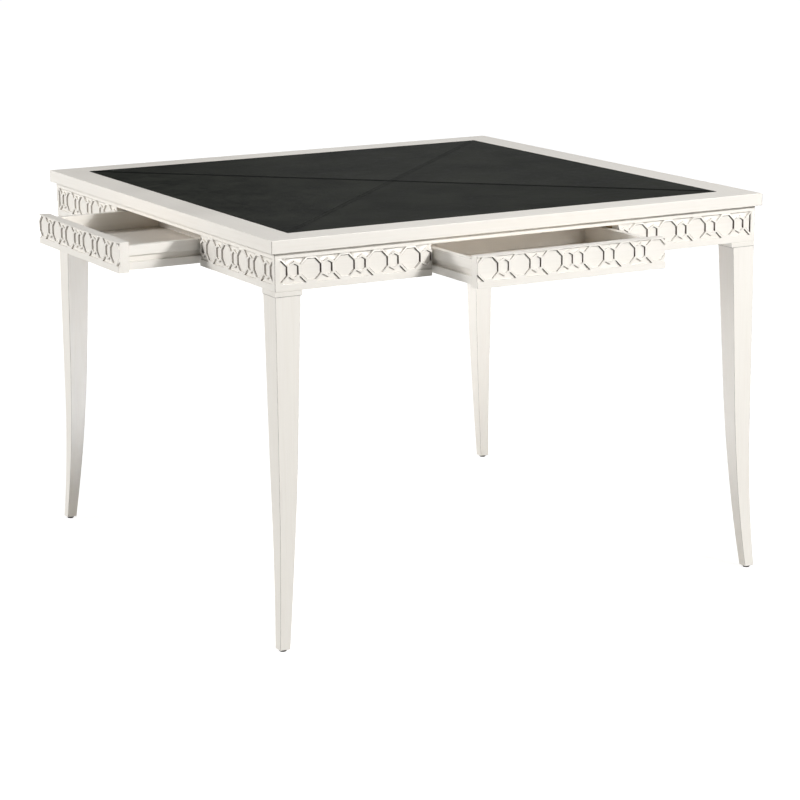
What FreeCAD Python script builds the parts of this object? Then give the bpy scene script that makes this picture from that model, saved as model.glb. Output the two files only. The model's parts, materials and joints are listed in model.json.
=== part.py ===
import FreeCAD, Part
import math
import os

# Square games table: leather top in a mitred rim, carved apron, four drawers and four sabre legs.
# Millimetres. The origin is on the floor under the middle of the table, +Z is up, the front is -Y.

# Whole table
table_side = 1067.0
table_height = 762.0

# Framed top
rim_width = 63.0
rim_thickness = 24.5
rim_top_round = 1.6
rim_lower_round = 1.0
tongue_height = 8.0
tongue_length = 10.0
tongue_clearance = 0.15
leather_thickness = 2.0
leather_proud = 0.6
leather_edge_gap = 0.4
leather_seam_gap = 0.3

# Apron under the top
apron_inset = 10.0
apron_height = 70.2
apron_thickness = 22.0
top_rail_height = 11.1
lower_band_height = 12.6
corner_stile = 10.5

# Fretwork: octagons and pointed links, left standing as straps between sunk recesses
fret_depth = 3.0
octagon_recess_half = 19.4
link_recess_half = 7.8
recess_spacing = 6.65
strap_width = 4.2
link_slope = 30.0
fret_offset = 1.95

# Drawer openings and drawers
opening_width = 407.0
opening_margin = 0.15
drawer_end_gap = 1.9
drawer_top_gap = 1.2
drawer_top_border = 1.5
drawer_front_thickness = 22.0
drawer_rear_gap = 10.0
front_drawer_out = 160.0
left_drawer_out = 164.0
side_setback = 2.0
side_thickness = 12.5
side_height = 46.0
side_rise = 4.2
dovetail_length = 8.0
dovetail_neck = 7.0
dovetail_spread = 1.0
back_thickness = 12.5
back_housing = 4.0
back_from_end = 28.0
stop_tab_width = 60.0
stop_tab_gap = 4.0
bottom_thickness = 5.0
bottom_rise = 5.0
bottom_housing = 5.0
drawer_fit = 0.15

# Runners and what carries them
runner_groove_height = 12.0
runner_groove_depth = 6.0
runner_groove_drop = 19.2
runner_seat_gap = 0.3
runner_lower_gap = 0.6
runner_inner_gap = 0.8
runner_stop_gap = 0.5
runner_end_gap = 8.0
bearer_thickness = 18.0
bearer_rise = 8.0

# Sabre legs
collar_size = 54.0
collar_height = 10.0
collar_chamfer = 0.8
leg_setback = 0.3
leg_top_size = 49.7
leg_waist_inset = 0.3
outer_flare_height = 282.0
inner_flare_height = 382.0
inner_taper = 10.0
foot_size = 20.2
foot_outset = 9.0
glide_diameter = 14.0
glide_height = 4.0
glide_chamfer = 1.0

# Corner blocks and fasteners
block_thickness = 22.0
block_rise = 10.0
post_flat = 10.0
bolt_diameter = 8.0
bolt_grip = 26.0
bolt_end = 14.0
nut_across_flats = 13.0
nut_height = 8.0
screw_diameter = 4.5
screw_across_flats = 8.0
screw_head_height = 3.5
screw_bite = 14.0
screw_tip_gap = 1.0
screw_offset = 26.0
hole_clearance = 0.2

# Levels and half widths that follow from the sizes above
half_side = table_side / 2
apron_half = half_side - apron_inset
apron_inner = apron_half - apron_thickness
top_inner = half_side - rim_width
under_top = table_height - rim_thickness
frieze_top = under_top - top_rail_height
apron_bottom = under_top - apron_height
frieze_bottom = apron_bottom + lower_band_height
fret_level = (frieze_top + frieze_bottom) / 2
core_top = table_height + leather_proud - leather_thickness
opening_half = opening_width / 2
drawer_half = opening_half - drawer_end_gap
drawer_top = frieze_top - drawer_top_gap
side_bottom = apron_bottom + side_rise
side_top = side_bottom + side_height
side_outer = drawer_half - side_setback
side_inner = side_outer - side_thickness
bottom_level = side_bottom + bottom_rise
drawer_floor = bottom_level + bottom_thickness
drawer_rear = opening_half + bearer_thickness + drawer_rear_gap
groove_top = side_top - runner_groove_drop
groove_bottom = groove_top - runner_groove_height
recess_pitch = octagon_recess_half + recess_spacing + link_recess_half
octagon_half_side = octagon_recess_half * math.tan(math.pi / 8)
bolt_level = (under_top + apron_bottom) / 2
leg_top = apron_bottom - collar_height
leg_outer = apron_half - leg_setback
foot_outer = apron_half + foot_outset
post_inner = leg_outer - leg_top_size
cut_margin = 1.0

SIDES = {"front": 0.0, "right": 90.0, "back": 180.0, "left": 270.0}
CORNERS = {"front_left": 0.0, "front_right": 90.0, "back_right": 180.0, "back_left": 270.0}
PULLED_OUT = {"front": front_drawer_out, "left": left_drawer_out}
UP = FreeCAD.Vector(0, 0, 1)


def point(x, y, z):
    return FreeCAD.Vector(x, y, z)


def box(x_range, y_range, z_range):
    """A block between two values along each axis."""
    low = point(x_range[0], y_range[0], z_range[0])
    return Part.makeBox(x_range[1] - x_range[0], y_range[1] - y_range[0], z_range[1] - z_range[0], low)


def prism(points, direction):
    """A closed outline of points pushed along a vector."""
    return Part.Face(Part.makePolygon(points + points[:1])).extrude(direction)


def plan_prism(outline, z_range):
    """An outline in plan, raised between two levels."""
    points = [point(x, y, z_range[0]) for x, y in outline]
    return prism(points, UP * (z_range[1] - z_range[0]))


def turned(shape, degrees):
    """A copy of a shape, turned about the table's upright axis."""
    copy = shape.copy()
    copy.rotate(point(0, 0, 0), UP, degrees)
    return copy


def mirrored(shape):
    """A copy of a shape on the other side of the front's middle."""
    return shape.mirror(point(0, 0, 0), point(1, 0, 0))


def one_solid(shape):
    """The single solid of a finished cut or joint, without leftover seams."""
    return shape.removeSplitter().Solids[0]


def save(name, shape):
    shape.exportStep(f"parts/{name}.step")


def mitred_plan(half, depth, z_range):
    """The plan of a board along the front whose two ends are mitred."""
    outline = [(-half, -half), (half, -half), (half - depth, depth - half), (depth - half, depth - half)]
    return plan_prism(outline, z_range)


def bore(start, direction, length, radius):
    """A round hole or pin along a direction."""
    return Part.makeCylinder(radius, length, start, direction)


# Fretwork

def octagon(centre, apothem):
    """The corners of an octagon in the front face's plane, with its flats upright and level."""
    radius = apothem / math.cos(math.pi / 8)
    angles = [math.pi / 8 + step * math.pi / 4 for step in range(8)]
    return [(centre + radius * math.cos(a), fret_level + radius * math.sin(a)) for a in angles]


def link(centre, half_width, half_upright):
    """The corners of an upright link with a pointed top and bottom."""
    peak = half_upright + half_width * math.tan(math.radians(link_slope))
    right = [(half_width, -half_upright), (half_width, half_upright), (0, peak)]
    left = [(-half_width, half_upright), (-half_width, -half_upright), (0, -peak)]
    return [(centre + x, fret_level + z) for x, z in right + left]


def link_outer(centre):
    """The outside of the strap round a link's recess."""
    slope = math.radians(link_slope)
    half_width = link_recess_half + strap_width
    half_upright = octagon_half_side + strap_width / math.cos(slope) - strap_width * math.tan(slope)
    return link(centre, half_width, half_upright)


def sunk(outline):
    """A recess of the given outline, sunk into the front face."""
    points = [point(x, -apron_half - cut_margin, z) for x, z in outline]
    return prism(points, point(0, fret_depth + cut_margin, 0))


def fret_run(first_link, limit):
    """Where a frieze has its links and octagons, from a first link outwards: link, octagon, link."""
    run = []
    centre = first_link
    is_link = True
    recess_half = link_recess_half
    while centre - recess_half < limit:
        run.append((centre, is_link))
        centre += recess_pitch
        is_link = not is_link
        recess_half = link_recess_half if is_link else octagon_recess_half
    return run


def fret_recesses(run, x_range, z_range):
    """All recesses of a frieze.

    The ground between the straps is sunk as deep as the octagons and the links.
    """
    field = box(x_range, (-apron_half - cut_margin, -apron_half + fret_depth), z_range)
    straps = []
    recesses = []
    for centre, is_link in run:
        if is_link:
            recesses.append(sunk(link(centre, link_recess_half, octagon_half_side)).common(field))
            straps.append(sunk(link_outer(centre)))
        else:
            recesses.append(sunk(octagon(centre, octagon_recess_half)).common(field))
            straps.append(sunk(octagon(centre, octagon_recess_half + strap_width)))
    ground = field.cut(straps)
    return ground.Solids + recesses


# Top

def make_core():
    """The panel under the leather, with a tongue all round that enters the rim."""
    panel = box((-top_inner, top_inner), (-top_inner, top_inner), (under_top, core_top))
    reach = top_inner + tongue_length - tongue_clearance
    middle = (under_top + core_top) / 2
    half_height = tongue_height / 2 - tongue_clearance
    tongue = box((-reach, reach), (-reach, reach), (middle - half_height, middle + half_height))
    return one_solid(panel.fuse(tongue))


def make_rim():
    """The front rim board: eased outer arrises, a groove for the core's tongue, mitred ends."""
    top = table_height
    outer = -half_side
    inner = -top_inner
    bend = 1 - math.cos(math.pi / 4)
    upper_round = Part.Arc(
        point(0, outer, top - rim_top_round),
        point(0, outer + rim_top_round * bend, top - rim_top_round * bend),
        point(0, outer + rim_top_round, top),
    ).toShape()
    lower_round = Part.Arc(
        point(0, outer + rim_lower_round, under_top),
        point(0, outer + rim_lower_round * bend, under_top + rim_lower_round * bend),
        point(0, outer, under_top + rim_lower_round),
    ).toShape()
    upper = Part.makePolygon([point(0, outer + rim_top_round, top), point(0, inner, top)])
    inside = Part.makePolygon([point(0, inner, top), point(0, inner, under_top)])
    lower = Part.makePolygon([point(0, inner, under_top), point(0, outer + rim_lower_round, under_top)])
    low_edge = under_top + rim_lower_round
    face = Part.makePolygon([point(0, outer, low_edge), point(0, outer, top - rim_top_round)])
    edges = [upper_round] + upper.Edges + inside.Edges + lower.Edges + [lower_round] + face.Edges
    section = Part.Face(Part.Wire(edges))
    section.translate(point(-half_side, 0, 0))
    board = section.extrude(point(table_side, 0, 0))
    middle = (under_top + core_top) / 2
    groove = box(
        (-half_side, half_side),
        (inner - tongue_length, inner + cut_margin),
        (middle - tongue_height / 2, middle + tongue_height / 2),
    )
    board = board.cut(groove).common(mitred_plan(half_side, rim_width, (under_top, top)))
    screw_x, screw_y = top_screw_place()
    radius = screw_diameter / 2 + hole_clearance
    board = board.cut(bore(point(screw_x, screw_y, under_top), UP, screw_bite, radius))
    return one_solid(board)


def make_leather():
    """The front leather triangle, from the rim to the middle of the top."""
    reach = top_inner - leather_edge_gap
    back_off = leather_seam_gap / math.sqrt(2)
    outline = [(back_off - reach, -reach), (reach - back_off, -reach), (0, -back_off)]
    return plan_prism(outline, (core_top, table_height + leather_proud))


# Apron

def make_top_rail():
    """The plain rail along the front, above the drawer and the carved panels."""
    return mitred_plan(apron_half, apron_thickness, (frieze_top, under_top))


def make_apron_panel(margin):
    """The carved panel on the right of the front drawer, mitred at the corner.

    The margin is the sunk ground beside the opening. Below zero, the opening cuts into the first strap.
    """
    plan = [
        (opening_half, -apron_half),
        (apron_half, -apron_half),
        (apron_inner, -apron_inner),
        (opening_half, -apron_inner),
    ]
    board = plan_prism(plan, (apron_bottom, frieze_top))
    first_link = opening_half + margin + strap_width + link_recess_half
    carved = (opening_half - cut_margin, apron_half - corner_stile)
    run = fret_run(first_link, carved[1])
    recesses = fret_recesses(run, carved, (frieze_bottom, frieze_top + cut_margin))
    return one_solid(board.cut(recesses))


# Drawers

def dovetail(outer_x, clearance):
    """The plan of the tongue on a side's front end, in the right half of the drawer."""
    middle = outer_x - side_thickness / 2
    neck = dovetail_neck / 2 + clearance
    tail = neck + dovetail_spread
    shoulder = drawer_front_thickness - apron_half
    tip = shoulder - dovetail_length - clearance
    return [(middle - tail, tip), (middle + tail, tip), (middle + neck, shoulder), (middle - neck, shoulder)]


def make_drawer_front():
    """The carved front board, housed at the back for the sides and the bottom.

    Its two middle links lie a little to the right, so the last octagon on the right runs out at the end.
    """
    face = -apron_half
    rear = drawer_front_thickness - apron_half
    board = box((-drawer_half, drawer_half), (face, rear), (apron_bottom, drawer_top))
    reach = drawer_half + cut_margin
    first_link = link_recess_half + recess_spacing / 2
    run = fret_run(first_link + fret_offset, reach)
    run += [(-centre, is_link) for centre, is_link in fret_run(first_link - fret_offset, reach)]
    cuts = fret_recesses(run, (-reach, reach), (frieze_bottom, drawer_top - drawer_top_border))
    housing = plan_prism(dovetail(side_outer, drawer_fit), (side_bottom, side_top + drawer_fit))
    cuts += [housing, mirrored(housing)]
    groove_half = side_inner + bottom_housing
    cuts.append(box(
        (-groove_half, groove_half),
        (rear - bottom_housing, rear + cut_margin),
        (bottom_level - drawer_fit, drawer_floor + drawer_fit),
    ))
    return one_solid(board.cut(cuts))


def make_drawer_side():
    """The right side of the front drawer, grooved outside for its runner and inside for the bottom."""
    shoulder = drawer_front_thickness - apron_half
    board = box((side_inner, side_outer), (shoulder, -drawer_rear), (side_bottom, side_top))
    board = board.fuse(plan_prism(dovetail(side_outer, 0), (side_bottom, side_top)))
    runner_groove = box(
        (side_outer - runner_groove_depth, side_outer + cut_margin),
        (shoulder, cut_margin - drawer_rear),
        (groove_bottom, groove_top),
    )
    bottom_groove = box(
        (side_inner - cut_margin, side_inner + bottom_housing),
        (shoulder - dovetail_length - cut_margin, cut_margin - drawer_rear),
        (bottom_level - drawer_fit, drawer_floor + drawer_fit),
    )
    back_end = -drawer_rear - back_from_end
    back_groove = box(
        (side_inner - cut_margin, side_inner + back_housing),
        (back_end - back_thickness - drawer_fit, back_end + drawer_fit),
        (drawer_floor, side_top + cut_margin),
    )
    return one_solid(board.cut([runner_groove, bottom_groove, back_groove]))


def make_drawer_back():
    """The back board, let into the sides, with a raised tab that catches behind the top rail."""
    reach = side_inner + back_housing - drawer_fit
    rear = -drawer_rear - back_from_end
    depth = (rear - back_thickness, rear)
    board = box((-reach, reach), depth, (drawer_floor, side_top))
    tab = box((-stop_tab_width / 2, stop_tab_width / 2), depth, (side_top, under_top - stop_tab_gap))
    return one_solid(board.fuse(tab))


def make_drawer_bottom():
    """The thin panel that slides in the grooves of the sides and the front, under the back."""
    reach = side_inner + bottom_housing - drawer_fit
    front = drawer_front_thickness - apron_half - bottom_housing + drawer_fit
    return box((-reach, reach), (front, -drawer_rear), (bottom_level, drawer_floor))


# Runners and bearers

def make_runners():
    """The two wooden strips that carry the front drawer in the grooves of its sides."""
    inner = side_outer - runner_groove_depth + runner_inner_gap
    front = drawer_front_thickness - apron_half + runner_stop_gap
    strip = box(
        (inner, opening_half),
        (front, -drawer_rear - runner_end_gap),
        (groove_bottom + runner_lower_gap, groove_top - runner_seat_gap),
    )
    return Part.makeCompound([strip, mirrored(strip)])


def make_bearer():
    """The long board that carries the front and back runners on the right."""
    plan = (opening_half, opening_half + bearer_thickness)
    return box(plan, (-apron_inner, apron_inner), (apron_bottom + bearer_rise, under_top))


def make_guides():
    """The two short boards beside a drawer, from the front apron to the first long bearer."""
    board = box(
        (opening_half, opening_half + bearer_thickness),
        (-apron_inner, -opening_half - bearer_thickness),
        (apron_bottom + bearer_rise, under_top),
    )
    return Part.makeCompound([board, mirrored(board)])


# Legs

def tangent_arc(start, direction, end):
    """An arc that leaves a start point along a direction and stops at an end point."""
    chord = end - start
    half_turn = direction.getAngle(chord) / 2
    side = direction.sub(chord * (direction.dot(chord) / chord.dot(chord)))
    middle = (start + end) * 0.5 + side.normalize() * (chord.Length / 2 * math.tan(half_turn))
    return Part.Arc(start, middle, end).toShape()


def leg_blade():
    """One view of the sabre leg at the front left corner: straight at first, then swept outwards."""
    top_outer = point(-leg_outer, 0, leg_top)
    waist = point(-leg_outer + leg_waist_inset, 0, outer_flare_height)
    toe = point(-foot_outer, 0, glide_height)
    top_inner_edge = point(-post_inner, 0, leg_top)
    knee = point(-post_inner - inner_taper, 0, inner_flare_height)
    heel = point(-foot_outer + foot_size, 0, glide_height)
    edges = [
        Part.makeLine(top_outer, waist),
        tangent_arc(waist, (waist - top_outer).normalize(), toe),
        Part.makeLine(toe, heel),
        tangent_arc(knee, (knee - top_inner_edge).normalize(), heel),
        Part.makeLine(knee, top_inner_edge),
        Part.makeLine(top_inner_edge, top_outer),
    ]
    face = Part.Face(Part.Wire(Part.__sortEdges__(edges)))
    face.translate(point(0, -foot_outer - cut_margin, 0))
    return face.extrude(point(0, foot_outer, 0))


def make_leg():
    """The front left leg: swept blade, square collar and a post that stands inside the apron's corner."""
    blade = leg_blade()
    other_view = blade.mirror(point(0, 0, 0), point(1, -1, 0))
    swept = blade.common(other_view)
    collar_range = (-apron_half, collar_size - apron_half)
    collar = box(collar_range, collar_range, (leg_top, apron_bottom))
    collar = collar.makeChamfer(collar_chamfer, collar.Edges)
    post_range = (-apron_inner, -post_inner)
    post = box(post_range, post_range, (apron_bottom - collar_height / 2, under_top))
    flat = post_inner + post_flat
    off_cut = [(-post_inner, -post_inner), (-post_inner, -flat), (-flat, -post_inner)]
    post = post.cut(plan_prism(off_cut, (apron_bottom, under_top + cut_margin)))
    leg = swept.fuse([collar, post])
    start, direction = bolt_line()
    radius = bolt_diameter / 2 + hole_clearance
    return one_solid(leg.cut(bore(start, direction, bolt_grip + post_flat, radius)))


def make_glide():
    """The round glide under the front left foot."""
    middle = -foot_outer + foot_size / 2
    disc = bore(point(middle, middle, 0), UP, glide_height, glide_diameter / 2)
    lowest = [edge for edge in disc.Edges if edge.BoundBox.ZMax < glide_chamfer / 2]
    return disc.makeChamfer(glide_chamfer, lowest)


# Corner blocks and fasteners

def block_faces():
    """How far the block's two long faces lie from the middle, as the sum of x and y."""
    outer = post_inner * 2 + post_flat
    return outer, outer - block_thickness * math.sqrt(2)


def bolt_line():
    """Where the front left bolt ends in its post, and the way that it points out of the post."""
    outer = block_faces()[0]
    towards = point(1, 1, 0).normalize()
    face = point(-outer / 2, -outer / 2, bolt_level)
    return face - towards * bolt_grip, towards


def top_screw_place():
    """The plan position of the screw from the front left block up into the front rim."""
    outer, inner = block_faces()
    middle = (outer + inner) / 4
    along = screw_offset / math.sqrt(2)
    return along - middle, -middle - along


def make_corner_block():
    """The block across the front left corner, bored for the leg's bolt and for a top screw."""
    outer, inner = block_faces()
    outline = [
        (-apron_inner, apron_inner - outer),
        (apron_inner - outer, -apron_inner),
        (apron_inner - inner, -apron_inner),
        (-apron_inner, apron_inner - inner),
    ]
    block = plan_prism(outline, (apron_bottom + block_rise, under_top))
    start, direction = bolt_line()
    radius = bolt_diameter / 2 + hole_clearance
    block = block.cut(bore(start, direction, bolt_grip + block_thickness + cut_margin, radius))
    screw_x, screw_y = top_screw_place()
    low = point(screw_x, screw_y, apron_bottom + block_rise)
    return one_solid(block.cut(bore(low, UP, apron_height, screw_diameter / 2 + hole_clearance)))


def make_hanger_bolt():
    """The headless bolt from the front left post through its corner block."""
    start, direction = bolt_line()
    return bore(start, direction, bolt_grip + block_thickness + bolt_end, bolt_diameter / 2)


def hexagon(seat, direction, level, across_flats, height):
    """A six-sided head or nut that stands on its seat, with one corner along a level direction."""
    radius = across_flats / 2 / math.cos(math.pi / 6)
    upright = direction.cross(level)
    corners = []
    for step in range(6):
        angle = step * math.pi / 3
        corners.append(seat + level * (radius * math.cos(angle)) + upright * (radius * math.sin(angle)))
    return prism(corners, direction * height)


def make_leg_nut():
    """The six-sided nut on the front left bolt, tight against the corner block."""
    start, direction = bolt_line()
    seat = start + direction * (bolt_grip + block_thickness)
    body = hexagon(seat, direction, direction.cross(UP), nut_across_flats, nut_height)
    return one_solid(body.cut(bore(seat, direction, nut_height, bolt_diameter / 2 + hole_clearance)))


def make_top_screw():
    """The six-sided screw from under the front left block up into the front rim."""
    screw_x, screw_y = top_screw_place()
    seat = point(screw_x, screw_y, apron_bottom + block_rise)
    head = hexagon(seat, -UP, point(1, 0, 0), screw_across_flats, screw_head_height)
    length = under_top + screw_bite - screw_tip_gap - seat.z
    return one_solid(head.fuse(bore(seat, UP, length, screw_diameter / 2)))


def save_group(name, shapes):
    """Like pieces that share one file."""
    save(name, Part.makeCompound(shapes))


def all_round(shape, places):
    """The same piece at each side or corner of the table."""
    return [turned(shape, degrees) for degrees in places.values()]


def save_drawers():
    """The pieces of the four drawers, two of them pulled out."""
    side = make_drawer_side()
    pieces = {
        "front": make_drawer_front(),
        "right_side": side,
        "left_side": mirrored(side),
        "back": make_drawer_back(),
        "bottom": make_drawer_bottom(),
    }
    for place, degrees in SIDES.items():
        slide = -PULLED_OUT.get(place, 0.0)
        for piece, shape in pieces.items():
            moved = shape.translated(point(0, slide, 0))
            save(f"{place}_drawer_{piece}", turned(moved, degrees))


def main():
    os.makedirs("parts", exist_ok=True)
    save("top_core", make_core())
    by_side = {
        "rim_{}": make_rim(),
        "leather_{}": make_leather(),
        "top_rail_{}": make_top_rail(),
        "apron_{}_right": make_apron_panel(opening_margin + fret_offset),
        "apron_{}_left": mirrored(make_apron_panel(opening_margin - fret_offset)),
        "runners_{}": make_runners(),
    }
    for place, degrees in SIDES.items():
        for name, shape in by_side.items():
            save(name.format(place), turned(shape, degrees))
    guides = make_guides()
    for place in ("left", "right"):
        save(f"guides_{place}", turned(guides, SIDES[place]))
    bearer = make_bearer()
    save("bearer_right", bearer)
    save("bearer_left", mirrored(bearer))
    leg = make_leg()
    for corner, degrees in CORNERS.items():
        save(f"leg_{corner}", turned(leg, degrees))
    save_group("corner_blocks", all_round(make_corner_block(), CORNERS))
    save_group("hanger_bolts", all_round(make_hanger_bolt(), CORNERS))
    save_group("leg_nuts", all_round(make_leg_nut(), CORNERS))
    save_group("foot_glides", all_round(make_glide(), CORNERS))
    save_group("top_screws", all_round(make_top_screw(), CORNERS))
    save_drawers()


main()
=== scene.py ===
"""Looks of a square games table: leather top, fretwork apron, four drawers and four sabre legs."""
import json
import logging
import math
from dataclasses import dataclass, field
from enum import Enum
from typing import Any, Callable

import bmesh
import bpy
from mathutils import Matrix, Vector

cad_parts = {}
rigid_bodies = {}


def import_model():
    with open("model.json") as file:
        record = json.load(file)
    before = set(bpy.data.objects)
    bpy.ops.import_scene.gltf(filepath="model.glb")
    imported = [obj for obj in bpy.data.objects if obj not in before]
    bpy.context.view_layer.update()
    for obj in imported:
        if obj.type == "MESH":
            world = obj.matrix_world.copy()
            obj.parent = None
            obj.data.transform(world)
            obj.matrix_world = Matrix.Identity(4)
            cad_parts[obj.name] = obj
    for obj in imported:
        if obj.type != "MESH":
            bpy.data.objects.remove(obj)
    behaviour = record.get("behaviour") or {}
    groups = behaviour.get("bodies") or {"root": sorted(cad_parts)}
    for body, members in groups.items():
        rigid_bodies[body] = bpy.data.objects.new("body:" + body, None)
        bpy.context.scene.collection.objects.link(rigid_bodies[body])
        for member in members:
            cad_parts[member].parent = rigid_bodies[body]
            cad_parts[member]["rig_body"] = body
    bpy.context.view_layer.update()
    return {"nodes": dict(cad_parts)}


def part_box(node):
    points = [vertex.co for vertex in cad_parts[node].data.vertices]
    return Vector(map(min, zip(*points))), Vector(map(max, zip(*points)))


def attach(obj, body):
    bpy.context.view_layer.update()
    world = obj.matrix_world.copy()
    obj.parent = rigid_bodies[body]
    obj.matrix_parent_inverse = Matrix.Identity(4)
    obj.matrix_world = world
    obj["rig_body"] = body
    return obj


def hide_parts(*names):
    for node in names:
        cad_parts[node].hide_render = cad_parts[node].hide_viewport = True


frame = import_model()

LOG = logging.getLogger("games_table")
Edge = bmesh.types.BMEdge
Piece = bpy.types.Object
UP = Vector((0.0, 0.0, 1.0))
# No way for the painted light: inner corners then get painted shade by whether they face up only
NO_PAINTED_LIGHT_WAY = Vector((0.0, 0.0, 0.0))
WHITE = (1.0, 1.0, 1.0, 1.0)

# A millimetre, and how near a cut snaps to a corner, in metres
MM = 0.001
CUT_SNAP = 1e-7

# The cosine from which two faces look the same way, the steepest slope of a level line, and a mitre's slack
FACING = 0.5
LEVEL_SLOPE = 0.5
MITRE_SLACK = 0.01

# Most values of a noise texture lie between these two
NOISE_LOW = 0.3
NOISE_HIGH = 0.7

# The sockets of a node that mixes two colours
SHARE, FIRST, SECOND, MIXED = 0, 6, 7, 2


class Side(Enum):
    """The four sides of the table, each with its turn from the front in degrees."""

    FRONT = 0.0
    RIGHT = 90.0
    BACK = 180.0
    LEFT = 270.0

    def __str__(self) -> str:
        """The side's name as the parts use it."""
        return self.name.lower()

    def turn(self) -> Matrix:
        """The rotation that takes a piece from the front to this side."""
        return Matrix.Rotation(math.radians(self.value), 4, "Z")

    def rightwards(self) -> Vector:
        """The way from left to right, for someone who faces this side."""
        return self.turn() @ Vector((1.0, 0.0, 0.0))


class Grain(Enum):
    """The way that a board's grain runs, as one of the three axes."""

    LEFT_TO_RIGHT = (1, 0, 0)
    FRONT_TO_BACK = (0, 1, 0)
    UPRIGHT = (0, 0, 1)

    def repeats(self, length_mm: float, width_mm: float) -> tuple[float, float, float]:
        """How often a streak of a given length and width repeats in a metre of each axis."""
        x, y, z = (1 / ((length_mm if along else width_mm) * MM) for along in self.value)
        return x, y, z


def along_side(side: Side) -> Grain:
    """The grain of a board that runs along a side."""
    return Grain.LEFT_TO_RIGHT if side in (Side.FRONT, Side.BACK) else Grain.FRONT_TO_BACK


def across_side(side: Side) -> Grain:
    """The grain of a board that runs inwards from a side."""
    return Grain.FRONT_TO_BACK if side in (Side.FRONT, Side.BACK) else Grain.LEFT_TO_RIGHT


def linear(colour: str) -> tuple[float, float, float, float]:
    """Turns an sRGB hex colour into linear light.

    Args:
        colour: Six hex digits after a hash.

    Returns:
        Red, green, blue and an alpha of one.
    """
    shares = [int(colour[place:place + 2], 16) / 255 for place in (1, 3, 5)]
    red, green, blue = (s / 12.92 if s <= 0.04045 else ((s + 0.055) / 1.055) ** 2.4 for s in shares)
    return red, green, blue, 1.0


def add_node(tree: bpy.types.NodeTree, kind: str, settings: dict[str, Any], sockets: dict[Any, Any]) -> Any:
    """Adds one shader node with its settings and links.

    Args:
        tree: The node tree that takes the node.
        kind: The node's type, without its common first word.
        settings: The node's own properties.
        sockets: What each input holds: a value, or the output that feeds it.

    Returns:
        The node.
    """
    node = tree.nodes.new(f"ShaderNode{kind}")
    for name, value in settings.items():
        setattr(node, name, value)
    for name, value in sockets.items():
        if isinstance(value, bpy.types.NodeSocket):
            tree.links.new(value, node.inputs[name])
        else:
            node.inputs[name].default_value = value
    return node


def new_material(name: str) -> tuple[bpy.types.Material, bpy.types.NodeTree, Any, Any]:
    """Starts a material.

    Args:
        name: What it is made of and how its surface was made.

    Returns:
        The material, its node tree, its shader, and the output that gives a place on the piece in metres.
    """
    material = bpy.data.materials.new(name)
    material.use_nodes = True
    tree = material.node_tree
    shader = tree.nodes["Principled BSDF"]
    place = add_node(tree, "TexCoord", {}, {}).outputs["Object"]
    return material, tree, shader, place


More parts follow.
